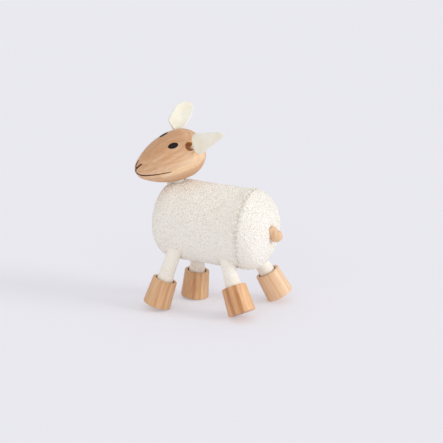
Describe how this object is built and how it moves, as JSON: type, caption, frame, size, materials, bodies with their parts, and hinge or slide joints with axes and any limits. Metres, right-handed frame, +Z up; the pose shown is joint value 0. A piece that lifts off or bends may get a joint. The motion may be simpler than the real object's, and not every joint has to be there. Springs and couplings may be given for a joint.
{
  "type": "poseable sheep figurine",
  "caption": "Poseable wooden sheep: fleece-covered barrel body, bendable sleeved legs in cup hooves, egg-shaped head on a short bendable neck, felt ears and a small tail.",
  "frame": {"origin": "on the floor under the middle of the toy's bounding box", "axes": "+X forward along the sheep, +Y to the sheep's left, +Z up"},
  "size_m": [0.0634, 0.0428, 0.0848],
  "materials": {
    "turned_wood": "satin clear lacquer",
    "barrel_wood": "bare sanded",
    "fleece": "short curly pile",
    "knit_sleeve": "fine knitted tube",
    "felt": "pressed wool felt",
    "wire": "drawn, annealed"
  },
  "bodies": {
    "torso": {"barrel_core": "barrel_wood", "fleece_wrap": "fleece", "fleece_rear_cap": "fleece", "tail": "turned_wood"},
    "neck": {"neck_sleeve": "knit_sleeve", "neck_wire": "wire"},
    "head": {"head": "turned_wood", "left_ear": "felt", "right_ear": "felt"},
    "front_left_leg": {"front_left_leg_sleeve": "knit_sleeve", "front_left_leg_wire": "wire"},
    "front_left_hoof": {"front_left_hoof": "turned_wood"},
    "front_right_leg": {"front_right_leg_sleeve": "knit_sleeve", "front_right_leg_wire": "wire"},
    "front_right_hoof": {"front_right_hoof": "turned_wood"},
    "rear_left_leg": {"rear_left_leg_sleeve": "knit_sleeve", "rear_left_leg_wire": "wire"},
    "rear_left_hoof": {"rear_left_hoof": "turned_wood"},
    "rear_right_leg": {"rear_right_leg_sleeve": "knit_sleeve", "rear_right_leg_wire": "wire"},
    "rear_right_hoof": {"rear_right_hoof": "turned_wood"}
  },
  "joints": [
    {"name": "head_turn", "type": "hinge", "parent": "torso", "child": "neck", "pos_m": [0.0175, 0.00195, 0.0576], "axis": [-0.1149, 0, 0.9934], "range_deg": [-115, 20]},
    {"name": "head_nod", "type": "hinge", "parent": "neck", "child": "head", "pos_m": [0.0175, 0.00195, 0.0576], "axis": [-0.7517, 0.5942, -0.2863], "range_deg": [-14, 3], "deforming": ["neck_sleeve", "neck_wire"]},
    {"name": "front_left_swing", "type": "hinge", "parent": "torso", "child": "front_left_leg", "pos_m": [0.01328, 0.01313, 0.02706], "axis": [0, -1, 0], "range_deg": [-54, 22], "deforming": ["front_left_leg_sleeve", "front_left_leg_wire"]},
    {"name": "front_left_hoof_bend", "type": "hinge", "parent": "front_left_leg", "child": "front_left_hoof", "pos_m": [0.01744, 0.01355, 0.0145], "axis": [0, -1, 0], "range_deg": [-20, 20], "deforming": ["front_left_leg_sleeve", "front_left_leg_wire"]},
    {"name": "front_right_swing", "type": "hinge", "parent": "torso", "child": "front_right_leg", "pos_m": [0.01328, -0.00923, 0.02706], "axis": [0, -1, 0], "range_deg": [-33, 47], "deforming": ["front_right_leg_sleeve", "front_right_leg_wire"]},
    {"name": "front_right_hoof_bend", "type": "hinge", "parent": "front_right_leg", "child": "front_right_hoof", "pos_m": [0.01157, -0.00572, 0.01387], "axis": [0, -1, 0], "range_deg": [-20, 20], "deforming": ["front_right_leg_sleeve", "front_right_leg_wire"]},
    {"name": "rear_left_swing", "type": "hinge", "parent": "torso", "child": "rear_left_leg", "pos_m": [-0.01045, 0.01215, 0.02466], "axis": [0, -1, 0], "range_deg": [-26, 50], "deforming": ["rear_left_leg_sleeve", "rear_left_leg_wire"]},
    {"name": "rear_left_hoof_bend", "type": "hinge", "parent": "rear_left_leg", "child": "rear_left_hoof", "pos_m": [-0.01234, 0.01101, 0.01449], "axis": [0, -1, 0], "range_deg": [-20, 20], "deforming": ["rear_left_leg_sleeve", "rear_left_leg_wire"]},
    {"name": "rear_right_swing", "type": "hinge", "parent": "torso", "child": "rear_right_leg", "pos_m": [-0.01045, -0.00825, 0.02466], "axis": [0, -1, 0], "range_deg": [-7, 68], "deforming": ["rear_right_leg_sleeve", "rear_right_leg_wire"]},
    {"name": "rear_right_hoof_bend", "type": "hinge", "parent": "rear_right_leg", "child": "rear_right_hoof", "pos_m": [-0.01718, -0.01299, 0.01449], "axis": [0, -1, 0], "range_deg": [-20, 20], "deforming": ["rear_right_leg_sleeve", "rear_right_leg_wire"]}
  ]
}
